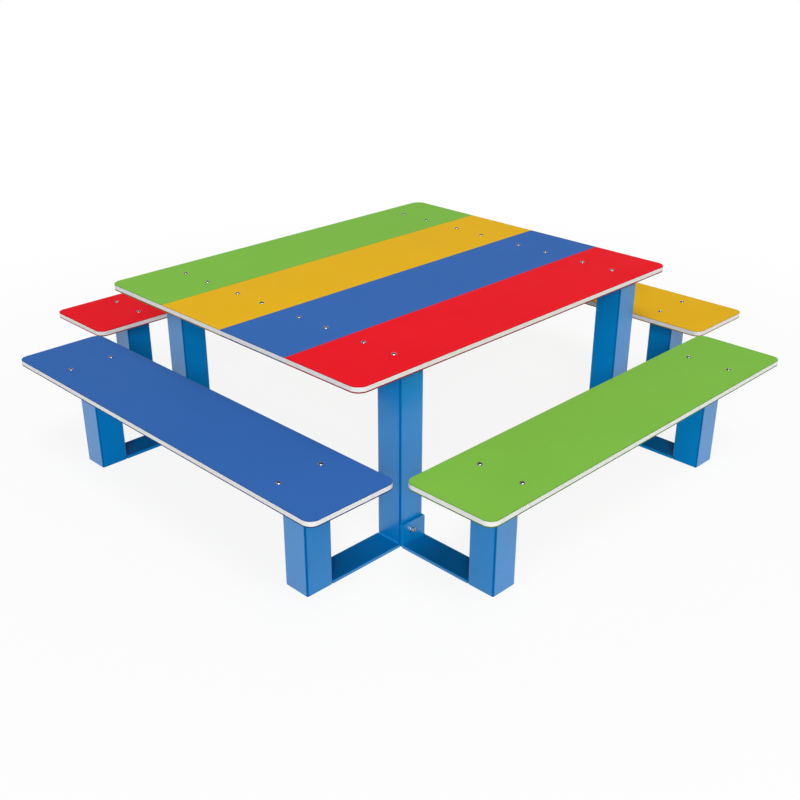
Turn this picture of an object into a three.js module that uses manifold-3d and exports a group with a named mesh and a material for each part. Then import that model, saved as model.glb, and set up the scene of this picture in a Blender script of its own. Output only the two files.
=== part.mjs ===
import * as THREE from "three";
import { mergeVertices } from "three/addons/utils/BufferGeometryUtils.js";
import Module from "manifold-3d";

// A fixed picnic table for a school yard: four coloured boards on a frame of square steel posts,
// with a bench on each side that stands on posts of its own, tied to the table along the ground.
// Millimetres, +Z up. The origin lies on the ground in the middle of the four table posts.
// The top boards run along X. Benches are named by their colour: green at -Y, blue at -X,
// red at +Y and yellow at +X. A piece at the end of a bench also names the bench next to that end.

// Overall sizes
const OVERALL_SPAN = 2100; // from one seat's outer edge to the opposite one
const TOP_HEIGHT = 583; // ground to the upper face of the table top
const SEAT_HEIGHT = 359; // ground to the upper face of a seat
const POST_REACH = 525; // middle of the table to the middle of a table post, along X and along Y

// Boards of three-layer plastic sheet
const BOARD_THICK = 20;
const TOP_BOARD_LENGTH = 1468;
const TOP_BOARD_WIDTH = 299.5;
const TOP_BOARD_JOINT = 0.5; // open joint between two top boards
const TOP_SHIFT_X = -22; // the top lies off the middle of the frame by this much
const TOP_CORNER = 35; // radius of the outer corners of the table top
const SEAT_WIDTH = 303;
const SEAT_CORNER = 30;
const SEAT_CORNER_GAP = 12; // from a seat's end to the line of the next seat's inner edge

// Steel frame
const POST_SIZE = 94;
const POST_WALL = 3;
const POST_CORNER = 6; // outside radius of the tube's corners
const FOOT_PLATE = 5; // plate that closes the foot of a post
const DRAIN_HOLE = 12; // diameter, in the middle of the foot plate
const SEAT_POST_INSET = 12.5; // a seat's posts stand this far inwards of its centre line
const TRAY_DEPTH = 20; // bearers and seat brackets are inverted trays of folded sheet
const TRAY_WALL = 4;
const SEAT_BRACKET_LENGTH = 190;
const STRETCHER_DEPTH = 40;
const STRETCHER_WALL = 3;
const STRETCHER_CORNER = 5;
const PLATE_THICK = 10; // ground plates and tie plates
const TAB_HEIGHT = 78; // upturned end of a tie plate
const TAB_BEND = 4; // inside radius of that bend
const TIE_BOLT_HEIGHT = 52; // ground to the bolt through the tab
const TIE_BOLT_SHIFT = 10; // and this far from the middle of the post, towards the end of the bench

// Button-head screws that hold the boards, and the tapped strips that take them
const SCREW_SHANK = 8;
const SCREW_HEAD = 16;
const SCREW_HEAD_HEIGHT = 4.2;
const SCREW_HEAD_RIM = 1.2; // upright rim of the head, under its slope
const SCREW_HEAD_FLAT = 8; // flat middle of the head
const SCREW_TIP = 3; // thread that shows below the tapped strip
const SCREW_HOLE = 9;
const TOP_SCREW_SPACING = 124; // between the two screws at one end of a top board
const INNER_SCREW_SHIFT = 2; // the pair on an inner top board lies this far outwards of its centre line
const OUTER_SCREW_SHIFT = -12; // and on an outer top board this far inwards
const SEAT_SCREW_SPACING = 147;
const SEAT_SCREW_SHIFT = 3.5; // a seat's screws lie this far outwards of its centre line
const STRIP_WIDTH = 40;
const STRIP_THICK = 6;
const STRIP_MARGIN = 12; // strip left beyond its last screw

// Cap screws through the tabs of the tie plates
const TIE_SHANK = 10;
const TIE_HOLE = 11;
const TIE_HEAD = 16;
const TIE_HEAD_HEIGHT = 10;
const TIE_HEAD_CHAMFER = 1;
const TIE_SOCKET_FLATS = 8; // across flats
const TIE_SOCKET_DEPTH = 5;
const TIE_NUT_FLATS = 16; // across flats
const TIE_NUT_HEIGHT = 8;
const TIE_WASHER = 20;
const TIE_WASHER_THICK = 2;

// Fits and fineness
const SEATING_GAP = 0.3; // between two pieces that lie on each other
const OVERCUT = 1; // how far a cutting tool runs past the face it opens
const CORNER_STEPS = 2; // half the chords in a rounded corner
const ROUND_STEPS = 10; // sides of a screw, hole or washer
const HEXAGON = 6; // sides of a nut or socket
const MERGE_DISTANCE = 1e-3;

// Sizes that follow from those above
const TOP_PITCH = TOP_BOARD_WIDTH + TOP_BOARD_JOINT;
const SEAT_OUTER_EDGE = OVERALL_SPAN / 2;
const SEAT_CENTRE = SEAT_OUTER_EDGE - SEAT_WIDTH / 2;
const SEAT_LENGTH = 2 * (SEAT_OUTER_EDGE - SEAT_WIDTH - SEAT_CORNER_GAP);
const SEAT_POST_LINE = SEAT_CENTRE - SEAT_POST_INSET;
const BEARER_TOP = TOP_HEIGHT - BOARD_THICK - SEATING_GAP;
const BRACKET_TOP = SEAT_HEIGHT - BOARD_THICK - SEATING_GAP;
const TABLE_POST_HEIGHT = BEARER_TOP - TRAY_DEPTH - SEATING_GAP;
const SEAT_POST_HEIGHT = BRACKET_TOP - TRAY_DEPTH - SEATING_GAP;
const BEARER_LENGTH = 2 * POST_REACH + POST_SIZE;
const TABLE_POST_FACE = POST_REACH + POST_SIZE / 2;
const PLATE_START = TABLE_POST_FACE + SEATING_GAP;
const PLATE_END = SEAT_POST_LINE - POST_SIZE / 2 - SEATING_GAP;
const PLATE_LENGTH = PLATE_END - PLATE_START;

// Finishes
const BOARD_FINISH = { roughness: 0.5, metalness: 0 };
const GREEN_SHEET = { ...BOARD_FINISH, color: 0x7dbb49 };
const YELLOW_SHEET = { ...BOARD_FINISH, color: 0xe0ab22 };
const BLUE_SHEET = { ...BOARD_FINISH, color: 0x3a68b2 };
const RED_SHEET = { ...BOARD_FINISH, color: 0xe8232b };
const BLUE_PAINT = { color: 0x0070b0, roughness: 0.3, metalness: 0 };
const STAINLESS = { color: 0xc4c6c8, roughness: 0.3, metalness: 1 };

const wasm = await Module();
wasm.setup();

// A closed geometry as a solid that can be joined and cut.
function solidOf(geometry) {
  geometry.deleteAttribute("normal");
  geometry.deleteAttribute("uv");
  const merged = mergeVertices(geometry, MERGE_DISTANCE);
  const corners = merged.index.array;
  const triVerts = [];
  for (let i = 0; i < corners.length; i += 3) {
    const [a, b, c] = corners.slice(i, i + 3);
    if (a !== b && b !== c && c !== a) triVerts.push(a, b, c);
  }
  return new wasm.Manifold(
    new wasm.Mesh({
      numProp: 3,
      vertProperties: merged.attributes.position.array,
      triVerts: new Uint32Array(triVerts),
    }),
  );
}

// A named mesh of a solid, in its own material.
function meshOf(name, solid, finish) {
  const { vertProperties, triVerts } = solid.getMesh();
  const geometry = new THREE.BufferGeometry();
  geometry.setAttribute("position", new THREE.BufferAttribute(vertProperties, 3));
  geometry.setIndex(new THREE.BufferAttribute(triVerts, 1));
  geometry.computeVertexNormals();
  const mesh = new THREE.Mesh(geometry, new THREE.MeshStandardMaterial(finish));
  mesh.name = name;
  return mesh;
}

// A rectangle round the origin. The radii belong to its -Y and its +Y corners.
function roundedRectangle(width, length, lowRadius, highRadius = lowRadius) {
  const x = width / 2;
  const y = length / 2;
  const shape = new THREE.Shape();
  const corners = [
    [x - lowRadius, lowRadius - y, lowRadius, -Math.PI / 2],
    [x - highRadius, y - highRadius, highRadius, 0],
    [highRadius - x, y - highRadius, highRadius, Math.PI / 2],
    [lowRadius - x, lowRadius - y, lowRadius, Math.PI],
  ];
  corners.forEach(([cx, cy, radius, start], i) => {
    const from = [cx + radius * Math.cos(start), cy + radius * Math.sin(start)];
    if (i === 0) shape.moveTo(...from);
    else shape.lineTo(...from);
    if (radius > 0) shape.absarc(cx, cy, radius, start, start + Math.PI / 2, false);
  });
  shape.closePath();
  return shape;
}

// The radius inside a corner of sheet or tube, square where the wall takes it up.
function innerRadius(outerRadius, wall) {
  return Math.max(outerRadius - wall, 0);
}

// A shape drawn upwards from one height to another.
function prism(shape, from, to) {
  const geometry = new THREE.ExtrudeGeometry(shape, {
    depth: to - from,
    bevelEnabled: false,
    curveSegments: CORNER_STEPS,
  });
  return geometry.translate(0, 0, from);
}

// An upright round bar between two heights.
function roundBar(diameter, from, to, sides = ROUND_STEPS) {
  const geometry = new THREE.CylinderGeometry(diameter / 2, diameter / 2, to - from, sides);
  return geometry.rotateX(Math.PI / 2).translate(0, 0, (from + to) / 2);
}

// An upright turned piece from the points of its half section, radius first.
function turned(points) {
  const outline = points.map(([radius, height]) => new THREE.Vector2(radius, height));
  return new THREE.LatheGeometry(outline, ROUND_STEPS).rotateX(Math.PI / 2);
}

// A board with its upper face at z = 0, bored for its screws.
function board(outline, screwPlaces) {
  let solid = solidOf(prism(outline, -BOARD_THICK, 0));
  for (const [x, y] of screwPlaces) {
    const hole = roundBar(SCREW_HOLE, -BOARD_THICK - OVERCUT, OVERCUT);
    solid = solid.subtract(solidOf(hole.translate(x, y, 0)));
  }
  return solid;
}

// A square tube that stands on its closed foot.
function post(height) {
  const bore = POST_SIZE - 2 * POST_WALL;
  const outside = roundedRectangle(POST_SIZE, POST_SIZE, POST_CORNER);
  const inside = roundedRectangle(bore, bore, innerRadius(POST_CORNER, POST_WALL));
  return solidOf(prism(outside, 0, height))
    .subtract(solidOf(prism(inside, FOOT_PLATE, height + OVERCUT)))
    .subtract(solidOf(roundBar(DRAIN_HOLE, -OVERCUT, FOOT_PLATE + OVERCUT)));
}

// A table post, bored in its -Y wall for the bolt of a tie plate.
function tablePost(boltX) {
  const face = POST_SIZE / 2;
  const bore = roundBar(TIE_HOLE, face - POST_WALL - OVERCUT, face + OVERCUT).rotateX(Math.PI / 2);
  return post(TABLE_POST_HEIGHT).subtract(solidOf(bore.translate(boltX, 0, TIE_BOLT_HEIGHT)));
}

// An inverted tray along Y with its upper face at z = 0, as wide as a post.
function tray(length, screwRow) {
  const wall = 2 * TRAY_WALL;
  const innerCorner = innerRadius(POST_CORNER, TRAY_WALL);
  const outside = roundedRectangle(POST_SIZE, length, POST_CORNER);
  const inside = roundedRectangle(POST_SIZE - wall, length - wall, innerCorner);
  let solid = solidOf(prism(outside, -TRAY_DEPTH, 0));
  solid = solid.subtract(solidOf(prism(inside, -TRAY_DEPTH - OVERCUT, -TRAY_WALL)));
  for (const y of screwRow) {
    const hole = roundBar(SCREW_HOLE, -TRAY_WALL - OVERCUT, OVERCUT);
    solid = solid.subtract(solidOf(hole.translate(0, y, 0)));
  }
  return solid;
}

// The rectangular tube between two table posts, along Y, with its upper face at z = 0.
function stretcher() {
  const wall = 2 * STRETCHER_WALL;
  const innerCorner = innerRadius(STRETCHER_CORNER, STRETCHER_WALL);
  const section = roundedRectangle(POST_SIZE, STRETCHER_DEPTH, STRETCHER_CORNER);
  section.holes.push(roundedRectangle(POST_SIZE - wall, STRETCHER_DEPTH - wall, innerCorner));
  const reach = POST_REACH - POST_SIZE / 2 - SEATING_GAP;
  const tube = prism(section, -reach, reach).rotateX(Math.PI / 2);
  return solidOf(tube.translate(0, 0, -STRETCHER_DEPTH / 2));
}

// A row of button-head screws along Y on the tapped strip that takes them.
// The heads stand on z = 0, the upper face of the board.
function screwRow(places) {
  const headSeat = SEATING_GAP;
  const stripTop = -BOARD_THICK - 2 * SEATING_GAP - TRAY_WALL;
  const stripBottom = stripTop - STRIP_THICK;
  const stripLength = Math.max(...places) - Math.min(...places) + 2 * STRIP_MARGIN;
  const stripCentre = (Math.max(...places) + Math.min(...places)) / 2;
  const strip = roundedRectangle(STRIP_WIDTH, stripLength, 0);
  let solid = solidOf(prism(strip, stripBottom, stripTop).translate(0, stripCentre, 0));
  for (const y of places) {
    const screw = turned([
      [0, stripBottom - SCREW_TIP],
      [SCREW_SHANK / 2, stripBottom - SCREW_TIP],
      [SCREW_SHANK / 2, headSeat],
      [SCREW_HEAD / 2, headSeat],
      [SCREW_HEAD / 2, headSeat + SCREW_HEAD_RIM],
      [SCREW_HEAD_FLAT / 2, headSeat + SCREW_HEAD_HEIGHT],
      [0, headSeat + SCREW_HEAD_HEIGHT],
    ]);
    solid = solid.add(solidOf(screw.translate(0, y, 0)));
  }
  return solid;
}

// A flat plate on the ground that runs outwards, towards -Y, from a table post to a seat post.
function groundPlate() {
  const plate = new THREE.BoxGeometry(POST_SIZE, PLATE_LENGTH, PLATE_THICK);
  return solidOf(plate.translate(0, -PLATE_START - PLATE_LENGTH / 2, PLATE_THICK / 2));
}

// The same plate with its inner end turned up against the table post, and bored for a bolt.
function tiePlate(boltX) {
  const outerBend = TAB_BEND + PLATE_THICK;
  const profile = new THREE.Shape();
  profile.moveTo(outerBend, 0);
  profile.lineTo(PLATE_LENGTH, 0);
  profile.lineTo(PLATE_LENGTH, PLATE_THICK);
  profile.absarc(outerBend, outerBend, TAB_BEND, -Math.PI / 2, Math.PI, true);
  profile.lineTo(PLATE_THICK, TAB_HEIGHT);
  profile.lineTo(0, TAB_HEIGHT);
  profile.absarc(outerBend, outerBend, outerBend, Math.PI, -Math.PI / 2, false);
  const outwards = new THREE.Vector3(0, -1, 0);
  const up = new THREE.Vector3(0, 0, 1);
  const across = new THREE.Vector3(-1, 0, 0);
  const turn = new THREE.Matrix4().makeBasis(outwards, up, across);
  const plate = prism(profile, -POST_SIZE / 2, POST_SIZE / 2).applyMatrix4(turn);
  const bore = roundBar(TIE_HOLE, -OVERCUT, PLATE_THICK + OVERCUT).rotateX(Math.PI / 2);
  return solidOf(plate)
    .subtract(solidOf(bore.translate(boltX, 0, TIE_BOLT_HEIGHT)))
    .translate([0, -PLATE_START, 0]);
}

// The cap screw through a tab: a head with a socket outside, a nut inside the post, pointing to -Y.
// Its length counts from the outer face of the table post.
function tieBolt(boltX) {
  const acrossCorners = (flats) => flats / Math.cos(Math.PI / HEXAGON);
  const headSeat = PLATE_THICK + TIE_WASHER_THICK + 3 * SEATING_GAP;
  const headTop = headSeat + TIE_HEAD_HEIGHT;
  const socketEnd = headTop - TIE_SOCKET_DEPTH;
  const nutSeat = -POST_WALL - SEATING_GAP;
  const nutEnd = nutSeat - TIE_NUT_HEIGHT;
  const head = turned([
    [0, headSeat],
    [TIE_HEAD / 2, headSeat],
    [TIE_HEAD / 2, headTop - TIE_HEAD_CHAMFER],
    [TIE_HEAD / 2 - TIE_HEAD_CHAMFER, headTop],
    [0, headTop],
  ]);
  const parts = [
    roundBar(TIE_SHANK, nutEnd, (headSeat + socketEnd) / 2),
    roundBar(acrossCorners(TIE_NUT_FLATS), nutEnd, nutSeat, HEXAGON),
    head,
  ];
  const socket = roundBar(acrossCorners(TIE_SOCKET_FLATS), socketEnd, headTop + OVERCUT, HEXAGON);
  return parts
    .map((part) => solidOf(part.rotateX(Math.PI / 2)))
    .reduce((whole, part) => whole.add(part))
    .subtract(solidOf(socket.rotateX(Math.PI / 2)))
    .translate([boltX, -TABLE_POST_FACE, TIE_BOLT_HEIGHT]);
}

// The washer under the head of that screw.
function tieWasher(boltX) {
  const seat = PLATE_THICK + 2 * SEATING_GAP;
  const top = seat + TIE_WASHER_THICK;
  const ring = solidOf(roundBar(TIE_WASHER, seat, top).rotateX(Math.PI / 2));
  const bore = solidOf(roundBar(TIE_HOLE, seat - OVERCUT, top + OVERCUT).rotateX(Math.PI / 2));
  return ring.subtract(bore).translate([boltX, -TABLE_POST_FACE, TIE_BOLT_HEIGHT]);
}

// The two screws at one end of each top board, as places across the whole top.
function topScrewRow() {
  const half = TOP_SCREW_SPACING / 2;
  const inner = TOP_PITCH / 2 + INNER_SCREW_SHIFT;
  const outer = (3 * TOP_PITCH) / 2 + OUTER_SCREW_SHIFT;
  const oneSide = [inner - half, inner + half, outer - half, outer + half];
  return [...oneSide.map((y) => -y), ...oneSide];
}

// The two screws at one end of a seat, as places across it. Outwards is -Y.
function seatScrewRow() {
  return [-1, 1].map((side) => (side * SEAT_SCREW_SPACING) / 2 - SEAT_SCREW_SHIFT);
}

// The table: four boards, and a post frame with bearer and stretcher under each end of them.
function table() {
  const group = new THREE.Group();
  const screwYs = topScrewRow();
  const boards = [
    ["red", RED_SHEET, TOP_CORNER, 0],
    ["blue", BLUE_SHEET, 0, 0],
    ["yellow", YELLOW_SHEET, 0, 0],
    ["green", GREEN_SHEET, 0, TOP_CORNER],
  ];
  boards.forEach(([colour, sheet, lowCorner, highCorner], i) => {
    const y = (i - (boards.length - 1) / 2) * TOP_PITCH;
    const outline = roundedRectangle(TOP_BOARD_LENGTH, TOP_BOARD_WIDTH, lowCorner, highCorner);
    const ownScrews = screwYs.filter((screwY) => Math.abs(screwY - y) < TOP_PITCH / 2);
    const places = [-POST_REACH, POST_REACH].flatMap((x) =>
      ownScrews.map((screwY) => [x - TOP_SHIFT_X, screwY - y]),
    );
    const mesh = meshOf(`top_board_${colour}`, board(outline, places), sheet);
    mesh.position.set(TOP_SHIFT_X, y, TOP_HEIGHT);
    group.add(mesh);
  });
  for (const [side, x] of [["blue", -POST_REACH], ["yellow", POST_REACH]]) {
    const bearer = meshOf(`bearer_${side}`, tray(BEARER_LENGTH, screwYs), BLUE_PAINT);
    bearer.position.set(x, 0, BEARER_TOP);
    const rail = meshOf(`stretcher_${side}`, stretcher(), BLUE_PAINT);
    rail.position.set(x, 0, TABLE_POST_HEIGHT);
    const screws = meshOf(`top_screws_${side}`, screwRow(screwYs), STAINLESS);
    screws.position.set(x, 0, TOP_HEIGHT);
    group.add(bearer, rail, screws);
    for (const [end, turn] of [["green", 0], ["red", Math.PI]]) {
      const boltX = Math.sign(x) * Math.cos(turn) * TIE_BOLT_SHIFT;
      const leg = meshOf(`table_post_${side}_${end}`, tablePost(boltX), BLUE_PAINT);
      leg.position.set(x, end === "green" ? -POST_REACH : POST_REACH, 0);
      leg.rotation.z = turn;
      group.add(leg);
    }
  }
  return group;
}

// The pieces at one end of a bench: a post on its plate, with a bracket and two screws for the seat.
// The side is -1 for the end towards -X, and 1 for the other.
function seatEnd(name, bolted, side) {
  const group = new THREE.Group();
  const screwYs = seatScrewRow();
  const leg = meshOf(`seat_post_${name}`, post(SEAT_POST_HEIGHT), BLUE_PAINT);
  leg.position.set(0, -SEAT_POST_LINE, 0);
  const bracket = meshOf(`seat_bracket_${name}`, tray(SEAT_BRACKET_LENGTH, screwYs), BLUE_PAINT);
  bracket.position.set(0, -SEAT_CENTRE, BRACKET_TOP);
  const screws = meshOf(`seat_screws_${name}`, screwRow(screwYs), STAINLESS);
  screws.position.set(0, -SEAT_CENTRE, SEAT_HEIGHT);
  group.add(leg, bracket, screws);
  if (bolted) {
    const boltX = side * TIE_BOLT_SHIFT;
    group.add(meshOf(`tie_plate_${name}`, tiePlate(boltX), BLUE_PAINT));
    group.add(meshOf(`tie_bolt_${name}`, tieBolt(boltX), STAINLESS));
    group.add(meshOf(`tie_washer_${name}`, tieWasher(boltX), STAINLESS));
  } else {
    group.add(meshOf(`ground_plate_${name}`, groundPlate(), BLUE_PAINT));
  }
  return group;
}

// A bench on the -Y side, with its two ends. The first neighbour lies towards -X.
function bench(colour, sheet, neighbours, bolted) {
  const group = new THREE.Group();
  const outline = roundedRectangle(SEAT_LENGTH, SEAT_WIDTH, SEAT_CORNER);
  const places = [-POST_REACH, POST_REACH].flatMap((x) => seatScrewRow().map((y) => [x, y]));
  const seat = meshOf(`seat_board_${colour}`, board(outline, places), sheet);
  seat.position.set(0, -SEAT_CENTRE, SEAT_HEIGHT);
  group.add(seat);
  neighbours.forEach((neighbour, i) => {
    const side = i === 0 ? -1 : 1;
    const end = seatEnd(`${colour}_${neighbour}`, bolted, side);
    end.position.x = side * POST_REACH;
    group.add(end);
  });
  return group;
}

// The whole object: the table, and a bench turned to each side of it.
// The blue and yellow benches are welded to the table posts, the green and red ones bolted.
const picnicTable = new THREE.Group();
picnicTable.add(table());
const benches = [
  ["green", GREEN_SHEET, ["blue", "yellow"], true, 0],
  ["yellow", YELLOW_SHEET, ["green", "red"], false, Math.PI / 2],
  ["red", RED_SHEET, ["yellow", "blue"], true, Math.PI],
  ["blue", BLUE_SHEET, ["red", "green"], false, -Math.PI / 2],
];
for (const [colour, sheet, neighbours, bolted, turn] of benches) {
  const group = bench(colour, sheet, neighbours, bolted);
  group.rotation.z = turn;
  picnicTable.add(group);
}

export default picnicTable;
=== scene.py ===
import math

import bmesh
import bpy
from mathutils import Matrix, Vector


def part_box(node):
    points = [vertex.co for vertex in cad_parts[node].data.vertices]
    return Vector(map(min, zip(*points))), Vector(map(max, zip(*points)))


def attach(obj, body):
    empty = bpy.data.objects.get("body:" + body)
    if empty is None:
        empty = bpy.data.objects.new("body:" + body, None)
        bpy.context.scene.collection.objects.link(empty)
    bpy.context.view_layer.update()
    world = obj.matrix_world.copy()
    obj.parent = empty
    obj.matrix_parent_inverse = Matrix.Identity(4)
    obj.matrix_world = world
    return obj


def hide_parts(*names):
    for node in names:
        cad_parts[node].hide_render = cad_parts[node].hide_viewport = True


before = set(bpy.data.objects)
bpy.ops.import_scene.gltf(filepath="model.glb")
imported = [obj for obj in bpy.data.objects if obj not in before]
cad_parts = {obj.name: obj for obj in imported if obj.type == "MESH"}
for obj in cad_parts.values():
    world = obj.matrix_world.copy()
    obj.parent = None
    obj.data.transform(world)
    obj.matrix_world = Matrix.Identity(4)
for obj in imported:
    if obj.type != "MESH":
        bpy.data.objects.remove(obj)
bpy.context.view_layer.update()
scene = bpy.context.scene
scene.view_settings.view_transform = "Standard"


# The view
# A camera at the corner between the blue and the green bench, at the height of a standing adult's eyes.
# It looks along the diagonal of the table, and its shift is that of the photograph's own framing.
camera_lens = bpy.data.cameras.new("photo_camera")
camera_lens.sensor_width = 36.0
camera_lens.lens = 48.98
camera_lens.shift_x = 0.0042
camera_lens.shift_y = 0.0152
camera_heading = math.radians(45.015)  # from +X towards +Y
camera_drop = math.radians(25.745)  # below level
camera = bpy.data.objects.new("photo_camera", camera_lens)
camera.location = (-2.5118, -2.4983, 1.7625)
camera.rotation_euler = (math.pi / 2 - camera_drop, 0.0, camera_heading - math.pi / 2)
scene.collection.objects.link(camera)
scene.camera = camera


# The floor and the light
# A matt white studio floor in a light tent whose walls are brighter than its roof. One soft box hangs
# high over the green bench's side, and another stands far behind the camera. The tent and most of the
# floor show as plain white, and the rest of the floor keeps the shadow.
FLOOR_SIDE = 120.0
FLOOR_DROP = 0.0005  # below the feet, so that no two faces share a plane
FLOOR_WHITE = (0.80, 0.80, 0.80, 1.0)
FLOOR_SHOWN_WHITE = (0.88, 1.0)  # share that is seen as plain white, near the object and away from it
FLOOR_FADE = (1.2, 3.2)  # how far from the middle of the object that share starts and ends to grow
WALL_LIGHT = 1.35
ROOF_LIGHT = 0.2
WALL_HEIGHT = (0.15, 0.40)  # sine of the elevation where the walls end and where the roof starts
SHOWN_WALL = 1.0  # the same tent as the camera and bright metal see it
SHOWN_ROOF = 0.14
SHOWN_HEIGHT = (0.22, 0.50)
KEY_BOX = ("key_box", Vector((-3.9, -7.8, 18.0)), 9.7, 2120.0)  # name, place, side and power
CAMERA_BOX = ("camera_box", Vector((-17.8, -17.6, 12.4)), 7.5, 4300.0)


def add_node(tree, kind, **settings):
    node = tree.nodes.new(kind)
    for name, value in settings.items():
        setattr(node, name, value)
    return node


def seen_directly(tree):
    """1 for a ray from the camera, a reflection or through glass, and 0 for light on the object."""
    path = add_node(tree, "ShaderNodeLightPath")
    direct = add_node(tree, "ShaderNodeMath", operation="MAXIMUM")
    seen = add_node(tree, "ShaderNodeMath", operation="MAXIMUM")
    tree.links.new(path.outputs["Is Camera Ray"], direct.inputs[0])
    tree.links.new(path.outputs["Is Glossy Ray"], direct.inputs[1])
    tree.links.new(direct.outputs[0], seen.inputs[0])
    tree.links.new(path.outputs["Is Transmission Ray"], seen.inputs[1])
    return seen.outputs[0]


floor_finish = bpy.data.materials.new("studio_floor")
floor_finish.use_nodes = True
tree = floor_finish.node_tree
tree.nodes.clear()
floor_matt = add_node(tree, "ShaderNodeBsdfDiffuse")
floor_matt.inputs["Color"].default_value = FLOOR_WHITE
floor_white = add_node(tree, "ShaderNodeEmission")
floor_place = add_node(tree, "ShaderNodeTexCoord")
floor_reach = add_node(tree, "ShaderNodeVectorMath", operation="LENGTH")
floor_fade = add_node(tree, "ShaderNodeMapRange", interpolation_type="SMOOTHSTEP")
floor_fade.inputs["From Min"].default_value = FLOOR_FADE[0]
floor_fade.inputs["From Max"].default_value = FLOOR_FADE[1]
floor_fade.inputs["To Min"].default_value = FLOOR_SHOWN_WHITE[0]
floor_fade.inputs["To Max"].default_value = FLOOR_SHOWN_WHITE[1]
floor_share = add_node(tree, "ShaderNodeMath", operation="MULTIPLY")
floor_mix = add_node(tree, "ShaderNodeMixShader")
floor_out = add_node(tree, "ShaderNodeOutputMaterial")
tree.links.new(floor_place.outputs["Object"], floor_reach.inputs[0])
tree.links.new(floor_reach.outputs["Value"], floor_fade.inputs["Value"])
tree.links.new(seen_directly(tree), floor_share.inputs[0])
tree.links.new(floor_fade.outputs["Result"], floor_share.inputs[1])
tree.links.new(floor_share.outputs[0], floor_mix.inputs[0])
tree.links.new(floor_matt.outputs[0], floor_mix.inputs[1])
tree.links.new(floor_white.outputs[0], floor_mix.inputs[2])
tree.links.new(floor_mix.outputs[0], floor_out.inputs["Surface"])

floor_mesh = bmesh.new()
bmesh.ops.create_grid(floor_mesh, x_segments=1, y_segments=1, size=FLOOR_SIDE / 2)
floor_data = bpy.data.meshes.new("studio_floor")
floor_mesh.to_mesh(floor_data)
floor_mesh.free()
floor_data.materials.append(floor_finish)
floor = bpy.data.objects.new("studio_floor", floor_data)
floor.location.z = -FLOOR_DROP
scene.collection.objects.link(floor)

sky = bpy.data.worlds.new("white_sky")
sky.use_nodes = True
tree = sky.node_tree
tree.nodes.clear()
sky_direction = add_node(tree, "ShaderNodeTexCoord")
sky_height = add_node(tree, "ShaderNodeSeparateXYZ")
tree.links.new(sky_direction.outputs["Generated"], sky_height.inputs[0])


def tent(heights, wall, roof):
    """A white background whose strength goes from that of the walls to that of the roof."""
    background = add_node(tree, "ShaderNodeBackground")
    background.inputs["Color"].default_value = (1.0, 1.0, 1.0, 1.0)
    strength = add_node(tree, "ShaderNodeMapRange", interpolation_type="SMOOTHSTEP")
    strength.inputs["From Min"].default_value = heights[0]
    strength.inputs["From Max"].default_value = heights[1]
    strength.inputs["To Min"].default_value = wall
    strength.inputs["To Max"].default_value = roof
    tree.links.new(sky_height.outputs["Z"], strength.inputs["Value"])
    tree.links.new(strength.outputs["Result"], background.inputs["Strength"])
    return background


sky_light = tent(WALL_HEIGHT, WALL_LIGHT, ROOF_LIGHT)
sky_shown = tent(SHOWN_HEIGHT, SHOWN_WALL, SHOWN_ROOF)
sky_mix = add_node(tree, "ShaderNodeMixShader")
sky_out = add_node(tree, "ShaderNodeOutputWorld")
tree.links.new(seen_directly(tree), sky_mix.inputs[0])
tree.links.new(sky_light.outputs[0], sky_mix.inputs[1])
tree.links.new(sky_shown.outputs[0], sky_mix.inputs[2])
tree.links.new(sky_mix.outputs[0], sky_out.inputs["Surface"])
scene.world = sky

for name, place, side, power in (KEY_BOX, CAMERA_BOX):
    lamp = bpy.data.lights.new(name, "AREA")
    lamp.shape = "SQUARE"
    lamp.size = side
    lamp.energy = power
    soft_box = bpy.data.objects.new(name, lamp)
    soft_box.location = place
    soft_box.rotation_euler = (-place).to_track_quat("-Z", "Y").to_euler()
    scene.collection.objects.link(soft_box)


# Posts
# Square steel tube with rolled corners, four tall ones for the table and two short ones for each bench.
# A plate with a drain hole is welded into each foot, and the frame is powder coated blue when it is whole.
TUBE_WALL = 0.003
TUBE_CORNER = 0.006
FOOT_PLATE = 0.005
DRAIN_RADIUS = 0.006
SAWN_EDGE = 0.0006  # burr taken off the end of a tube
FOOT_EDGE = 0.0012
FOOT_SEAM_WIDTH = 0.0012
FOOT_SEAM_DEPTH = 0.0006
TIE_HOLE_RADIUS = 0.0055
TIE_HOLE_WINDOW = 0.014  # half the height of the wall that is cut round a hole
EDGE_MIDDLE = 0.3  # how far the middle of a rounded edge lies in from its two faces, in radii
HOLE_CHORDS = 24
CORNER_CHORDS = 8
SMALLEST_BEND = 0.0001
CRISP_ANGLE = math.radians(40)  # edges that turn by more than this stay crisp
PAINT_BLUE = (0.0, 0.174, 0.470, 1.0)
PAINT_CORNER_SHADE_BLUE = (0.0, 0.080, 0.260, 1.0)  # painted shade: the middle of a tube's rounded corners is drawn in this deeper blue
PAINT_GLANCE = ((0.25, 0.46), (0.0, 1.0))  # how far a face turns away, and how much the coat mirrors then
PAINT_GRAZE = ((0.62, 0.90), (1.0, 0.2))  # it mirrors less where it is seen along the face
NOISE_RANGE = (0.3, 0.7)  # most values of a noise lie between these


def node_group(name, inputs, output, kind):
    """An empty shader group with float or colour inputs and one output."""
    group = bpy.data.node_groups.new(name, "ShaderNodeTree")
    for label, (socket, value) in inputs.items():
        made = group.interface.new_socket(label, in_out="INPUT", socket_type=socket)
        made.default_value = value
    group.interface.new_socket(output, in_out="OUTPUT", socket_type=kind)
    return group, add_node(group, "NodeGroupInput"), add_node(group, "NodeGroupOutput")


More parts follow.
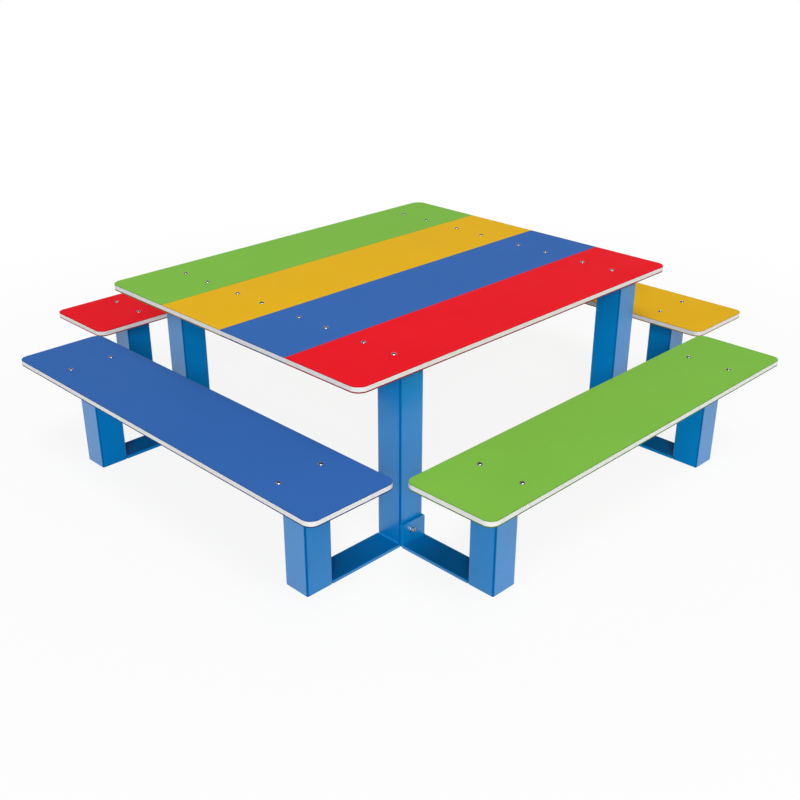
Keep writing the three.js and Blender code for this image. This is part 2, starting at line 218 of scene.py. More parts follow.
def noise_of_size(tree, size_socket, detail):
    """Noise over the object in metres, with features about as wide as the size that is fed in."""
    place = add_node(tree, "ShaderNodeTexCoord")
    per_metre = add_node(tree, "ShaderNodeMath", operation="DIVIDE")
    per_metre.inputs[0].default_value = 1.0
    noise = add_node(tree, "ShaderNodeTexNoise")
    noise.inputs["Detail"].default_value = detail
    tree.links.new(size_socket, per_metre.inputs[1])
    tree.links.new(per_metre.outputs[0], noise.inputs["Scale"])
    tree.links.new(place.outputs["Object"], noise.inputs["Vector"])
    return noise.outputs["Fac"]


def spread_to(tree, value, low, high):
    """Noise spread over the range between two sockets or numbers."""
    spread = add_node(tree, "ShaderNodeMapRange")
    spread.inputs["From Min"].default_value = NOISE_RANGE[0]
    spread.inputs["From Max"].default_value = NOISE_RANGE[1]
    for name, end in (("To Min", low), ("To Max", high)):
        if isinstance(end, float):
            spread.inputs[name].default_value = end
        else:
            tree.links.new(end, spread.inputs[name])
    tree.links.new(value, spread.inputs["Value"])
    return spread.outputs["Result"]


mottle, ins, outs = node_group(
    "batch_mottle",
    {
        "Color": ("NodeSocketColor", (0.5, 0.5, 0.5, 1.0)),
        "Size": ("NodeSocketFloat", 0.1),
        "Lightest": ("NodeSocketFloat", 1.02),
        "Darkest": ("NodeSocketFloat", 0.98),
    },
    "Color",
    "NodeSocketColor",
)
shade = add_node(mottle, "ShaderNodeHueSaturation")
cloud = noise_of_size(mottle, ins.outputs["Size"], 4.0)
cloud = spread_to(mottle, cloud, ins.outputs["Darkest"], ins.outputs["Lightest"])
mottle.links.new(cloud, shade.inputs["Value"])
mottle.links.new(ins.outputs["Color"], shade.inputs["Color"])
mottle.links.new(shade.outputs["Color"], outs.inputs["Color"])

handling, ins, outs = node_group(
    "handling_marks",
    {
        "Size": ("NodeSocketFloat", 0.05),
        "Smoothest": ("NodeSocketFloat", 0.4),
        "Roughest": ("NodeSocketFloat", 0.6),
    },
    "Roughness",
    "NodeSocketFloat",
)
smear = noise_of_size(handling, ins.outputs["Size"], 6.0)
smear = spread_to(handling, smear, ins.outputs["Smoothest"], ins.outputs["Roughest"])
handling.links.new(smear, outs.inputs["Roughness"])

grain, ins, outs = node_group(
    "surface_grain", {"Size": ("NodeSocketFloat", 0.001)}, "Height", "NodeSocketFloat"
)
pebble = noise_of_size(grain, ins.outputs["Size"], 1.0)
grain.links.new(pebble, outs.inputs["Height"])


def place_group(tree, group, **values):
    node = add_node(tree, "ShaderNodeGroup", node_tree=group)
    for name, value in values.items():
        node.inputs[name].default_value = value
    return node


def new_finish(name):
    """A material with a Principled shader, and that shader."""
    finish = bpy.data.materials.new(name)
    finish.use_nodes = True
    return finish, finish.node_tree.nodes["Principled BSDF"]


def press_grain(tree, shader, height, depth, strength):
    """Bump from a height that runs from 0 to 1, with its real depth in metres."""
    bump = add_node(tree, "ShaderNodeBump")
    bump.inputs["Distance"].default_value = depth
    bump.inputs["Strength"].default_value = strength
    tree.links.new(height, bump.inputs["Height"])
    tree.links.new(bump.outputs["Normal"], shader.inputs["Normal"])


def paint_finish(name, colour, glossy):
    """Blue powder coat that mirrors at a glance, or is rubbed dull."""
    finish, shader = new_finish(name)
    tree = finish.node_tree
    shader.inputs["Specular IOR Level"].default_value = 0.03
    shader.inputs["Coat Roughness"].default_value = 0.27
    shader.inputs["Coat IOR"].default_value = 1.66
    # Painted shade: the middle of each rounded corner, marked on the mesh, is drawn towards a deeper blue.
    bend = add_node(tree, "ShaderNodeAttribute", attribute_name="bend")
    corner_shade_mix = add_node(tree, "ShaderNodeMix", data_type="RGBA")
    corner_shade_mix.inputs["A"].default_value = colour
    corner_shade_mix.inputs["B"].default_value = PAINT_CORNER_SHADE_BLUE
    tree.links.new(bend.outputs["Fac"], corner_shade_mix.inputs["Factor"])
    tint = place_group(tree, mottle, Size=0.09, Lightest=1.03, Darkest=0.97)
    tree.links.new(corner_shade_mix.outputs["Result"], tint.inputs["Color"])
    tree.links.new(tint.outputs["Color"], shader.inputs["Base Color"])
    marks = place_group(tree, handling, Size=0.06, Smoothest=0.26, Roughest=0.36)
    tree.links.new(marks.outputs["Roughness"], shader.inputs["Roughness"])
    peel = place_group(tree, grain, Size=0.0035)
    press_grain(tree, shader, peel.outputs["Height"], 0.00012, 0.35)
    if glossy:
        glance = add_node(tree, "ShaderNodeLayerWeight")
        coat = add_node(tree, "ShaderNodeMath", operation="MULTIPLY")
        for i, (turned, mirrored) in enumerate((PAINT_GLANCE, PAINT_GRAZE)):
            step = add_node(tree, "ShaderNodeMapRange", interpolation_type="SMOOTHSTEP")
            step.inputs["From Min"].default_value = turned[0]
            step.inputs["From Max"].default_value = turned[1]
            step.inputs["To Min"].default_value = mirrored[0]
            step.inputs["To Max"].default_value = mirrored[1]
            tree.links.new(glance.outputs["Facing"], step.inputs["Value"])
            tree.links.new(step.outputs["Result"], coat.inputs[i])
        tree.links.new(coat.outputs[0], shader.inputs["Coat Weight"])
    return finish


paint = paint_finish("blue_powder_coat", PAINT_BLUE, True)


def nodes_named(start):
    return sorted(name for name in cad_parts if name.startswith(start))


def outline(low, high, radii, inset=0.0):
    """A rectangle with rounded corners, anticlockwise from its +X -Y corner and drawn in by the inset."""
    corners = [
        (high.x, low.y, 1, -1),
        (high.x, high.y, 1, 1),
        (low.x, high.y, -1, 1),
        (low.x, low.y, -1, -1),
    ]
    points = []
    for i, (x, y, side_x, side_y) in enumerate(corners):
        radius = max(radii[i] - inset, SMALLEST_BEND)
        middle_x = x - side_x * (inset + radius)
        middle_y = y - side_y * (inset + radius)
        for step in range(CORNER_CHORDS + 1):
            angle = (i - 1 + step / CORNER_CHORDS) * math.pi / 2
            points.append((middle_x + radius * math.cos(angle), middle_y + radius * math.sin(angle)))
    return points


def circle(middle_x, middle_y, radius, count):
    turns = [2 * math.pi * i / count for i in range(count)]
    return [(middle_x + radius * math.cos(a), middle_y + radius * math.sin(a)) for a in turns]


def ring(mesh, points, z):
    return [mesh.verts.new((x, y, z)) for x, y in points]


def mark_bend(mesh, rows):
    """Marks the middle of each rounded corner in rows of outline points, where the paint draws painted
    shade.
    """
    layer = mesh.verts.layers.float["bend"]
    for row in rows:
        for i, vertex in enumerate(row):
            vertex[layer] = math.sin(math.pi * (i % (CORNER_CHORDS + 1)) / CORNER_CHORDS)


def flat_side(side):
    """The column of quads between two rounded corners of an outline: 0 at +X, 1 at +Y, 2 at -X, 3 at -Y."""
    return (CORNER_CHORDS + 1) * (side + 1) - 1


def skin(mesh, rows, closed=False, skipped=()):
    """Quads between neighbouring rows of vertices, apart from those that are left open as windows."""
    count = len(rows[0])
    following = rows[1:] + rows[:1] if closed else rows[1:]
    for i, (row, after) in enumerate(zip(rows, following)):
        for j in range(count):
            k = (j + 1) % count
            if (i, j) not in skipped:
                mesh.faces.new((row[j], row[k], after[k], after[j]))


def fill(mesh, border, holes, facing):
    """Closes a flat border of vertices round the holes in it."""
    edges = []
    for loop in [border, *holes]:
        for a, b in zip(loop, loop[1:] + loop[:1]):
            edges.append(mesh.edges.get((a, b)) or mesh.edges.new((a, b)))
    bmesh.ops.triangle_fill(mesh, use_beauty=True, edges=edges, normal=facing)


def window(rows, row, column):
    """The corners of one quad that skin left open."""
    after = (column + 1) % len(rows[row])
    return [rows[row][column], rows[row][after], rows[row + 1][after], rows[row + 1][column]]


def bore(mesh, windows, ends, radius):
    """A round hole through a wall, between two windows that skin left open."""
    axis = (ends[1] - ends[0]).normalized()
    aside = axis.orthogonal().normalized()
    across = axis.cross(aside)
    rims = []
    for end in ends:
        points = [end + aside * x + across * y for x, y in circle(0.0, 0.0, radius, HOLE_CHORDS)]
        rims.append([mesh.verts.new(point) for point in points])
    skin(mesh, rims)
    for border, rim in zip(windows, rims):
        fill(mesh, border, [rim], axis)


def new_mesh():
    """An empty mesh with a place for the marks of rounded corners, which carry painted shade."""
    mesh = bmesh.new()
    mesh.verts.layers.float.new("bend")
    return mesh


def new_piece(name, mesh, *finishes):
    """An object of a finished mesh, smooth over its rounded edges and flat on its faces."""
    bmesh.ops.recalc_face_normals(mesh, faces=mesh.faces)
    data = bpy.data.meshes.new(name)
    mesh.to_mesh(data)
    mesh.free()
    for finish in finishes:
        data.materials.append(finish)
    data.shade_smooth()
    data.set_sharp_from_angle(angle=CRISP_ANGLE)
    made = bpy.data.objects.new(name, data)
    scene.collection.objects.link(made)
    flat_faces = made.modifiers.new("flat_faces", "WEIGHTED_NORMAL")
    flat_faces.keep_sharp = True
    return made


def post_tube(low, high, bolt=None, tie_side=0.0):
    """A post on its foot plate, with a hole in one wall where a tie bolt goes through it."""
    mesh = new_mesh()
    radii = [TUBE_CORNER] * 4
    middle = (low + high) / 2
    heights = [bolt.z - TIE_HOLE_WINDOW, bolt.z + TIE_HOLE_WINDOW] if bolt else []
    seam = TUBE_WALL + FOOT_SEAM_WIDTH / 2
    outside = [
        (seam + FOOT_SEAM_WIDTH, low.z),
        (seam, low.z + FOOT_SEAM_DEPTH),
        (seam - FOOT_SEAM_WIDTH, low.z),
        (FOOT_EDGE, low.z),
        (FOOT_EDGE * EDGE_MIDDLE, low.z + FOOT_EDGE * EDGE_MIDDLE),
        (0.0, low.z + FOOT_EDGE),
        *[(0.0, z) for z in heights],
        (0.0, high.z - SAWN_EDGE),
        (SAWN_EDGE, high.z),
    ]
    inside = [
        (TUBE_WALL - SAWN_EDGE, high.z),
        (TUBE_WALL, high.z - SAWN_EDGE),
        *[(TUBE_WALL, z) for z in reversed(heights)],
        (TUBE_WALL, low.z + FOOT_PLATE),
    ]
    rows = [ring(mesh, outline(low, high, radii, inset), z) for inset, z in outside + inside]
    mark_bend(mesh, rows[: len(outside)])
    count = len(rows[0])
    drain = circle(middle.x, middle.y, DRAIN_RADIUS, count)
    turned = drain[-count // 8 :] + drain[: -count // 8]  # starts at the same corner as an outline
    rows = [ring(mesh, turned, low.z), *rows, ring(mesh, turned, low.z + FOOT_PLATE)]
    if bolt is None:
        skin(mesh, rows, closed=True)
        return mesh
    outer_row = 1 + outside.index((0.0, heights[0]))
    inner_row = 1 + len(outside) + inside.index((TUBE_WALL, heights[1]))
    column = flat_side(1 if tie_side > 0 else 3)
    skin(mesh, rows, closed=True, skipped={(outer_row, column), (inner_row, column)})
    outer_face = Vector((bolt.x, high.y if tie_side > 0 else low.y, bolt.z))
    inner_face = outer_face - Vector((0.0, tie_side * TUBE_WALL, 0.0))
    windows = [window(rows, outer_row, column), window(rows, inner_row, column)]
    bore(mesh, windows, [outer_face, inner_face], TIE_HOLE_RADIUS)
    return mesh


def bolt_line(end):
    """The middle of a tie bolt, and the way that it points: away from the table."""
    low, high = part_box("tie_bolt_" + end)
    middle = (low + high) / 2
    return middle, math.copysign(1.0, middle.y)


for node in nodes_named("table_post_"):
    side, bench = node.removeprefix("table_post_").split("_")
    bolt, tie_side = bolt_line(f"{bench}_{side}")
    post = new_piece(node + "_tube", post_tube(*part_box(node), bolt, tie_side), paint)
    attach(post, "root")
    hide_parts(node)

for node in nodes_named("seat_post_"):
    post = new_piece(node + "_tube", post_tube(*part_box(node)), paint)
    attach(post, "root")
    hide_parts(node)


# Ground plates
# Flat steel bars on the ground that hold the blue and the yellow bench to the table.
# They are cut square, with rolled edges, and welded to the posts at both ends.
BAR_EDGE = 0.0009  # radius of a rolled edge
EDGE_CHORDS = 3
BEAD_LEG = 0.0036
BEAD_RIPPLE = 0.0026  # from one ripple of a weld to the next
BEAD_RIPPLE_DEPTH = 0.14  # as a share of the leg
BEAD_VALLEY = 3  # power that narrows the valleys between ripples
BEAD_SWELL = 0.154  # how far the middle of a weld's face bulges along both legs, as a share of them
BEAD_TIP = 0.2  # size of a weld at its very end, as a share of the leg
BEAD_STEPS = 4  # sections in a ripple
BEAD_CHORDS = 5
BEAD_ROOT = 0.0006  # how deep a weld runs into the steel that it joins
BEAD_STOP = 0.004  # from a plate's long edge to the end of its weld
FLATNESS = 0.000001  # points within this of a face lie on it
UP = Vector((0.0, 0.0, 1.0))
# Dull where feet wear the coat, and drawn in a deeper blue than the paint as painted shade on the bars'
# upper faces.
TRODDEN_SHADED_BLUE = (0.0, 0.119, 0.340, 1.0)

trodden_shaded_paint = paint_finish("trodden_shaded_powder_coat", TRODDEN_SHADED_BLUE, False)


def dull_shaded_faces(mesh, is_trodden_shaded):
    """Gives the faces whose corners all pass a test the second finish of a piece: dull paint in a deeper
    blue that is painted shade.
    """
    for face in mesh.faces:
        if all(is_trodden_shaded(vertex.co) for vertex in face.verts):
            face.material_index = 1


def eased_side(bottom, top, edge, levels=()):
    """(inset, height) up the side of a plate whose lower and upper edges are rounded."""
    turns = [i / EDGE_CHORDS * math.pi / 2 for i in range(EDGE_CHORDS + 1)]
    lower = [(edge * (1 - math.sin(a)), bottom + edge * (1 - math.cos(a))) for a in turns]
    upper = [(inset, top - (z - bottom)) for inset, z in reversed(lower)]
    return [*lower, *[(0.0, z) for z in levels], *upper]


def bored_plate(low, high, radii, edge, places=(), radius=0.0, levels=()):
    """A flat plate, bored through at the places, whose sides have a ring of points at each level."""
    mesh = new_mesh()
    side = eased_side(low.z, high.z, edge, levels)
    rows = [ring(mesh, outline(low, high, radii, inset), z) for inset, z in side]
    skin(mesh, rows)
    bores = []
    for place in places:
        rim = circle(place.x, place.y, radius, HOLE_CHORDS)
        rims = [ring(mesh, rim, z) for z in (low.z, *levels, high.z)]
        skin(mesh, rims)
        bores.append(rims)
    fill(mesh, rows[0], [rims[0] for rims in bores], UP)
    fill(mesh, rows[-1], [rims[-1] for rims in bores], UP)
    return mesh


def weld_bead(length):
    """A rippled fillet weld along X, in the corner between the floor z = 0 and the wall y = 0."""
    mesh = new_mesh()
    steps = BEAD_STEPS * round(length / BEAD_RIPPLE)
    rows = []
    for i in range(steps + 1):
        x = (i / steps - 0.5) * length
        nearest_end = length / 2 - abs(x)
        from_round = max(1 - nearest_end / BEAD_LEG, 0.0)
        ending = math.sqrt(max(1 - from_round**2, BEAD_TIP**2))
        ripple = 1 - BEAD_RIPPLE_DEPTH * abs(math.cos(math.pi * i / BEAD_STEPS)) ** BEAD_VALLEY
        size = BEAD_LEG * ending * ripple
        section = [(-BEAD_ROOT, -BEAD_ROOT), (size, -BEAD_ROOT)]
        for k in range(BEAD_CHORDS + 1):
            share = k / BEAD_CHORDS
            bulge = BEAD_SWELL * math.sin(math.pi * share)
            section.append((size * (1 - share + bulge), size * (share + bulge)))
        section.append((-BEAD_ROOT, size))
        rows.append([mesh.verts.new((x, y, z)) for y, z in section])
    skin(mesh, rows)
    mesh.faces.new(rows[0])
    mesh.faces.new(rows[-1])
    return mesh


def put(mesh, along_x, along_y, along_z, origin):
    """Turns a mesh so that its own axes point these ways, and moves its origin to a place."""
    turn = Matrix((along_x, along_y, along_z)).transposed().to_4x4()
    turn.translation = origin
    bmesh.ops.transform(mesh, matrix=turn, verts=mesh.verts)


def lay_weld(name, middle, along, from_wall, up_wall, length):
    """A weld along the corner line between two pieces of the frame."""
    mesh = weld_bead(length)
    put(mesh, along, from_wall, up_wall, middle)
    weld = new_piece(name, mesh, paint)
    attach(weld, "root")


def outward_from(low, high):
    """The way that a long piece runs, away from the middle of the table."""
    middle = (low + high) / 2
    if high.x - low.x > high.y - low.y:
        return Vector((math.copysign(1.0, middle.x), 0.0, 0.0))
    return Vector((0.0, math.copysign(1.0, middle.y), 0.0))


for node in nodes_named("ground_plate_"):
    low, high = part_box(node)
    mesh = bored_plate(low, high, [BAR_EDGE] * 4, BAR_EDGE)
    # Painted shade: the upper face gets the dull finish in its deeper blue.
    dull_shaded_faces(mesh, lambda point: abs(point.z - high.z) < FLATNESS)
    plate = new_piece(node + "_bar", mesh, paint, trodden_shaded_paint)
    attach(plate, "root")
    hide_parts(node)
    outwards = outward_from(low, high)
    across = UP.cross(outwards)
    middle = (low + high) / 2
    half_length = abs((high - low).dot(outwards)) / 2
    weld_length = abs((high - low).dot(across)) - 2 * BEAD_STOP
    for name, way in (("inner", -1.0), ("outer", 1.0)):
        corner = middle + outwards * way * half_length
        corner.z = high.z
        lay_weld(f"{node}_{name}_weld", corner, across, -way * outwards, UP, weld_length)


# Tie plates
# The same bars for the green and the red bench, which come off the frame for transport: the inner end is
# folded up into a tab and bolted to the table post, and the outer end is welded to the bench's post.
TIE_FOLD = 0.004  # inside radius of the fold
TAB_CORNER = 0.005
TAB_TURN = math.radians(72)  # how far round that corner the tab's side runs
TAB_END = 0.82  # where the tab's flat end starts, in radii of that corner
TAB_RIM = (0.15, 0.4)  # a point on the rounded edge of that end, down and in, in radii of the edge
TAB_CHORDS = 5
FOLD_CHORDS = 8


def folded_bar(length, width, thick, tab_height, hole_across, hole_height):
    """A bar along +X from the foot of its tab, with the tab against x = 0, lying on z = 0."""
    mesh = new_mesh()
    outer_fold = TIE_FOLD + thick
    run = length - outer_fold
    tab_start = run + outer_fold * math.pi / 2
    tab_run = tab_height - outer_fold
    hole_run = tab_start + hole_height - outer_fold

    def folded(run_so_far, across, depth):
        """Where a point of the flat bar is when the tab is up."""
        if run_so_far < run:
            return Vector((length - run_so_far, across, depth))
        if run_so_far < tab_start:
            angle = (run_so_far - run) / outer_fold
            reach = outer_fold - depth
            x = outer_fold - reach * math.sin(angle)
            z = outer_fold - reach * math.cos(angle)
            return Vector((x, across, z))
        return Vector((depth, across, outer_fold + run_so_far - tab_start))

    rounding = BAR_EDGE * EDGE_MIDDLE
    stations = [(0.0, BAR_EDGE, BAR_EDGE), (rounding, rounding, rounding), (BAR_EDGE, 0.0, 0.0)]
    stations += [(run + (tab_start - run) * i / FOLD_CHORDS, 0.0, 0.0) for i in range(FOLD_CHORDS + 1)]
    stations += [(hole_run - TIE_HOLE_WINDOW, 0.0, 0.0), (hole_run + TIE_HOLE_WINDOW, 0.0, 0.0)]
    hole_row = len(stations) - 2
    tab_end = tab_start + tab_run
    for i in range(TAB_CHORDS + 1):
        turn = i / TAB_CHORDS * TAB_TURN
        drawn_in = TAB_CORNER * (1 - math.cos(turn))
        stations.append((tab_end - TAB_CORNER * (1 - math.sin(turn)), drawn_in, 0.0))
    last_in = TAB_CORNER * TAB_END
    stations.append((tab_end - BAR_EDGE * TAB_RIM[0], last_in, BAR_EDGE * TAB_RIM[1]))
    stations.append((tab_end, last_in + BAR_EDGE, BAR_EDGE))
    rows = []
    for run_so_far, drawn_in, thinned in stations:
        low = Vector((drawn_in - width / 2, thinned))
        high = Vector((width / 2 - drawn_in, thick - thinned))
        section = outline(low, high, [BAR_EDGE] * 4)
        rows.append([mesh.verts.new(folded(run_so_far, across, depth)) for across, depth in section])
    columns = [flat_side(1), flat_side(3)]
    skin(mesh, rows, skipped={(hole_row, column) for column in columns})
    mesh.faces.new(rows[0])
    mesh.faces.new(rows[-1])
    windows = [window(rows, hole_row, column) for column in columns]
    ends = [folded(hole_run, hole_across, thick), folded(hole_run, hole_across, 0.0)]
    bore(mesh, windows, ends, TIE_HOLE_RADIUS)

    def on_upper_side(point):
        if point.x >= outer_fold:
            return abs(point.z - thick) < FLATNESS
        if point.z > outer_fold:
            return abs(point.z - tab_height) < FLATNESS
        from_fold = math.hypot(point.x - outer_fold, point.z - outer_fold)
        return abs(from_fold - TIE_FOLD) < FLATNESS

    # Painted shade: the upper sides of bar, fold and tab get the dull finish in its deeper blue.
    dull_shaded_faces(mesh, on_upper_side)
    return mesh


for node in nodes_named("tie_plate_"):
    end = node.removeprefix("tie_plate_")
    low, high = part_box(node)
    plate_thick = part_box(nodes_named("ground_plate_")[0])[1].z
    bolt, way = bolt_line(end)
    outwards = Vector((0.0, way, 0.0))
    across = UP.cross(outwards)
    middle = (low + high) / 2
    length = high.y - low.y
    width = high.x - low.x
    hole_across = (bolt - middle).dot(across)
    mesh = folded_bar(length, width, plate_thick, high.z - low.z, hole_across, bolt.z - low.z)
    tab_foot = middle - outwards * length / 2
    tab_foot.z = low.z
    put(mesh, outwards, across, UP, tab_foot)
    plate = new_piece(node + "_bar", mesh, paint, trodden_shaded_paint)
    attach(plate, "root")
    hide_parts(node)
    corner = middle + outwards * length / 2
    corner.z = low.z + plate_thick
    lay_weld(f"{node}_outer_weld", corner, across, -outwards, UP, width - 2 * BEAD_STOP)


# Tie bolts
# Stainless cap screws with a hexagon socket, through the tabs and the walls of the table posts. Each has
# a washer under its head and a nut inside the tube, so that no thread end stands out where children sit.
BOLT_RADIUS = 0.005
BOLT_TIP = 0.8  # radius of a bolt's bare end, as a share of its own
NUT_FLATS = 0.016
NUT_HEIGHT = 0.008
NUT_FACE = 0.97  # width of the round face that is turned on a nut, as a share of its flats
NUT_CHAMFER = 0.0014  # height over which a nut's corners are turned away
NUT_STEPS = (0.35, 0.7, 1.0)  # where that height has a ring of points
CAP_RADIUS = 0.008
CAP_CHAMFER = 0.0008
CAP_GAP = 0.0001  # between a head and its washer
CAP_SOCKET_FLATS = 0.008
CAP_SOCKET_DEPTH = 0.005
SOCKET_CHAMFER = 0.0003
DRILL_POINT = 0.3  # depth of the drill's cone below a socket, as a share of the socket's own depth
WASHER_EDGE = 0.0004
WASHER_BORE = 0.0055
ROUND_COUNT = 48
STEEL_GREY = (0.60, 0.60, 0.59, 1.0)


def steel_finish(name, colour, smoothest, roughest):
    """Turned stainless steel, a little uneven in tone and polish."""
    finish, shader = new_finish(name)
    tree = finish.node_tree
    shader.inputs["Metallic"].default_value = 1.0
    tint = place_group(tree, mottle, Color=colour, Size=0.004, Lightest=1.06, Darkest=0.92)
    tree.links.new(tint.outputs["Color"], shader.inputs["Base Color"])
    marks = place_group(tree, handling, Size=0.003, Smoothest=smoothest, Roughest=roughest)
    tree.links.new(marks.outputs["Roughness"], shader.inputs["Roughness"])
    turning = place_group(tree, grain, Size=0.0007)
    press_grain(tree, shader, turning.outputs["Height"], 0.00003, 0.3)
    return finish


stainless = steel_finish("stainless_steel", STEEL_GREY, 0.16, 0.34)


def hexagon(flats, count, largest=1.0):
    """A hexagon with as many points as a circle, its corners cut back to the largest radius."""
    points = []
    for i in range(count):
        angle = 2 * math.pi * i / count
        from_flat = angle % (math.pi / 3) - math.pi / 6
        radius = min(flats / 2 / math.cos(from_flat), largest)
        points.append((radius * math.cos(angle), radius * math.sin(angle)))
    return points


def round_points(radius):
    return circle(0.0, 0.0, radius, ROUND_COUNT)


def close_with_cone(mesh, border, tip):
    """Ends a drilled socket in the cone that the drill leaves."""
    tip_point = mesh.verts.new(tip)
    for a, b in zip(border, border[1:] + border[:1]):
        mesh.faces.new((a, b, tip_point))


def nut_rings(bottom, top):
    """The rings of a nut whose corners are turned away at both faces."""
    corner = NUT_FLATS / 2 / math.cos(math.pi / 6)
    face = NUT_FLATS / 2 * NUT_FACE
    rings = [(round_points(face), bottom)]
    for share in NUT_STEPS:
        largest = face + (corner - face) * share
        rings.append((hexagon(NUT_FLATS, ROUND_COUNT, largest), bottom + NUT_CHAMFER * share))
    upper = [(points, bottom + top - z) for points, z in reversed(rings)]
    return rings + upper


def cap_screw(back, seat, top):
    """A screw along +Z from the nut at its back, to a head with a socket between the seat and the top."""
    mesh = new_mesh()
    nut_face = back + NUT_HEIGHT
    socket = hexagon(CAP_SOCKET_FLATS, ROUND_COUNT)
    rings = [
        (round_points(BOLT_RADIUS * BOLT_TIP), back),
        *nut_rings(back, nut_face),
        (round_points(BOLT_RADIUS), nut_face),
        (round_points(BOLT_RADIUS), seat),
        (round_points(CAP_RADIUS - CAP_CHAMFER / 2), seat),
        (round_points(CAP_RADIUS), seat + CAP_CHAMFER / 2),
        (round_points(CAP_RADIUS), top - CAP_CHAMFER),
        (round_points(CAP_RADIUS - CAP_CHAMFER), top),
        (hexagon(CAP_SOCKET_FLATS + 2 * SOCKET_CHAMFER, ROUND_COUNT), top),
        (socket, top - SOCKET_CHAMFER),
        (socket, top - CAP_SOCKET_DEPTH),
    ]
    rows = [ring(mesh, points, z) for points, z in rings]
    skin(mesh, rows)
    mesh.faces.new(rows[0])
    close_with_cone(mesh, rows[-1], UP * (top - CAP_SOCKET_DEPTH * (1 + DRILL_POINT)))
    return mesh


def washer_ring(radius, bottom, top):
    """A flat ring round Z with its outer edges and the edge of its bore broken."""
    mesh = new_mesh()
    section = [
        (WASHER_BORE, bottom),
        (radius - WASHER_EDGE, bottom),
        (radius, bottom + WASHER_EDGE),
        (radius, top - WASHER_EDGE),
        (radius - WASHER_EDGE, top),
        (WASHER_BORE + WASHER_EDGE, top),
        (WASHER_BORE, top - WASHER_EDGE),
    ]
    rows = [ring(mesh, round_points(reach), z) for reach, z in section]
    skin(mesh, rows, closed=True)
    return mesh


for node in nodes_named("tie_bolt_"):
    end = node.removeprefix("tie_bolt_")
    low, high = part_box(node)
    washer_low, washer_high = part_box("tie_washer_" + end)
    bolt, way = bolt_line(end)
    outwards = Vector((0.0, way, 0.0))
    across = UP.cross(outwards)
    origin = Vector((bolt.x, 0.0, bolt.z))
    ends = sorted((low.y * way, high.y * way))
    washer_ends = sorted((washer_low.y * way, washer_high.y * way))
    bolt_mesh = cap_screw(ends[0], washer_ends[1] + CAP_GAP, ends[1])
    washer_mesh = washer_ring((washer_high.x - washer_low.x) / 2, *washer_ends)
    for kind, mesh, replaced in (("screw", bolt_mesh, node), ("ring", washer_mesh, "tie_washer_" + end)):
        put(mesh, across, UP, outwards, origin)
        fastener = new_piece(f"{replaced}_{kind}", mesh, stainless)
        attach(fastener, "root")
        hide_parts(replaced)


# Bearers and seat brackets
# Inverted trays of folded steel sheet, welded on the posts: a long one under each end of the table top
# and a short one under each end of a seat. Their roofs are bored for the screws that hold the boards.
TRAY_WALL = 0.004
TRAY_FOLD = 0.005  # outside radius of the fold between roof and wall
TRAY_INNER_FOLD = 0.001
TRAY_LIP_EDGE = 0.0006
TRAY_HOLE_RADIUS = 0.0045
HEAD_REACH = 0.009  # points of one screw head lie no further than this from its middle
HEAD_TOP = 0.00001  # and those of its top no deeper than this


def screw_places(node):
    """Where the screws of a node are, from the tops of their heads."""
    vertices = [vertex.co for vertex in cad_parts[node].data.vertices]
    top = max(point.z for point in vertices)
    heads = []
    for point in vertices:
        if point.z < top - HEAD_TOP:
            continue
        head = next((h for h in heads if (h[0] - point).length < 2 * HEAD_REACH), None)
        if head is None:
            heads.append([point])
        else:
            head.append(point)
    places = [sum(head, Vector()) / len(head) for head in heads]
    return sorted(places, key=lambda place: (round(place.x, 4), round(place.y, 4)))


def folded_tray(low, high, places):
    """A tray with its roof up and its walls down, bored through the roof at the places."""
    mesh = new_mesh()
    radii = [TUBE_CORNER] * 4
    roof = high.z - TRAY_WALL
    turns = [i / EDGE_CHORDS * math.pi / 2 for i in range(EDGE_CHORDS + 1)]
    side = [(TRAY_FOLD * (1 - math.sin(a)), high.z - TRAY_FOLD * (1 - math.cos(a))) for a in turns]
    side += [(0.0, low.z + TRAY_LIP_EDGE), (TRAY_LIP_EDGE, low.z)]
    side += [(TRAY_WALL - TRAY_LIP_EDGE, low.z), (TRAY_WALL, low.z + TRAY_LIP_EDGE)]
    side += [(TRAY_WALL, roof - TRAY_INNER_FOLD), (TRAY_WALL + TRAY_INNER_FOLD, roof)]
    rows = [ring(mesh, outline(low, high, radii, inset), z) for inset, z in side]
    skin(mesh, rows)
    bores = []
    for place in places:
        rim = circle(place.x, place.y, TRAY_HOLE_RADIUS, HOLE_CHORDS)
        rims = [ring(mesh, rim, high.z), ring(mesh, rim, roof)]
        skin(mesh, rims)
        bores.append(rims)
    fill(mesh, rows[0], [rims[0] for rims in bores], UP)
    fill(mesh, rows[-1], [rims[1] for rims in bores], UP)
    return mesh


for node in nodes_named("bearer_") + nodes_named("seat_bracket_"):
    screws = node.replace("bearer_", "top_screws_").replace("seat_bracket_", "seat_screws_")
    tray = new_piece(node + "_tray", folded_tray(*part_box(node), screw_places(screws)), paint)
    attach(tray, "root")
    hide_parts(node)


# Stretchers
# Rectangular steel tubes close under the bearers, cut to fit between the two table posts of one end.
# They are welded all round, and only the weld along the lower edge stands out.
STRETCHER_WALL = 0.003
STRETCHER_CORNER = 0.005


def level_tube(low, high):
    """A tube along Y, open at both ends. It is drawn upright and laid down."""
    mesh = new_mesh()
    along_x = Vector((1.0, 0.0, 0.0))
    radii = [STRETCHER_CORNER] * 4
    flat_low = Vector((low.x, -high.z))
    flat_high = Vector((high.x, -low.z))
    section = [
        (SAWN_EDGE, low.y),
        (0.0, low.y + SAWN_EDGE),
        (0.0, high.y - SAWN_EDGE),
        (SAWN_EDGE, high.y),
        (STRETCHER_WALL, high.y),
        (STRETCHER_WALL, low.y),
    ]
    rows = [ring(mesh, outline(flat_low, flat_high, radii, inset), y) for inset, y in section]
    mark_bend(mesh, rows[:4])
    skin(mesh, rows, closed=True)
    put(mesh, along_x, -UP, UP.cross(along_x), Vector())
    return mesh


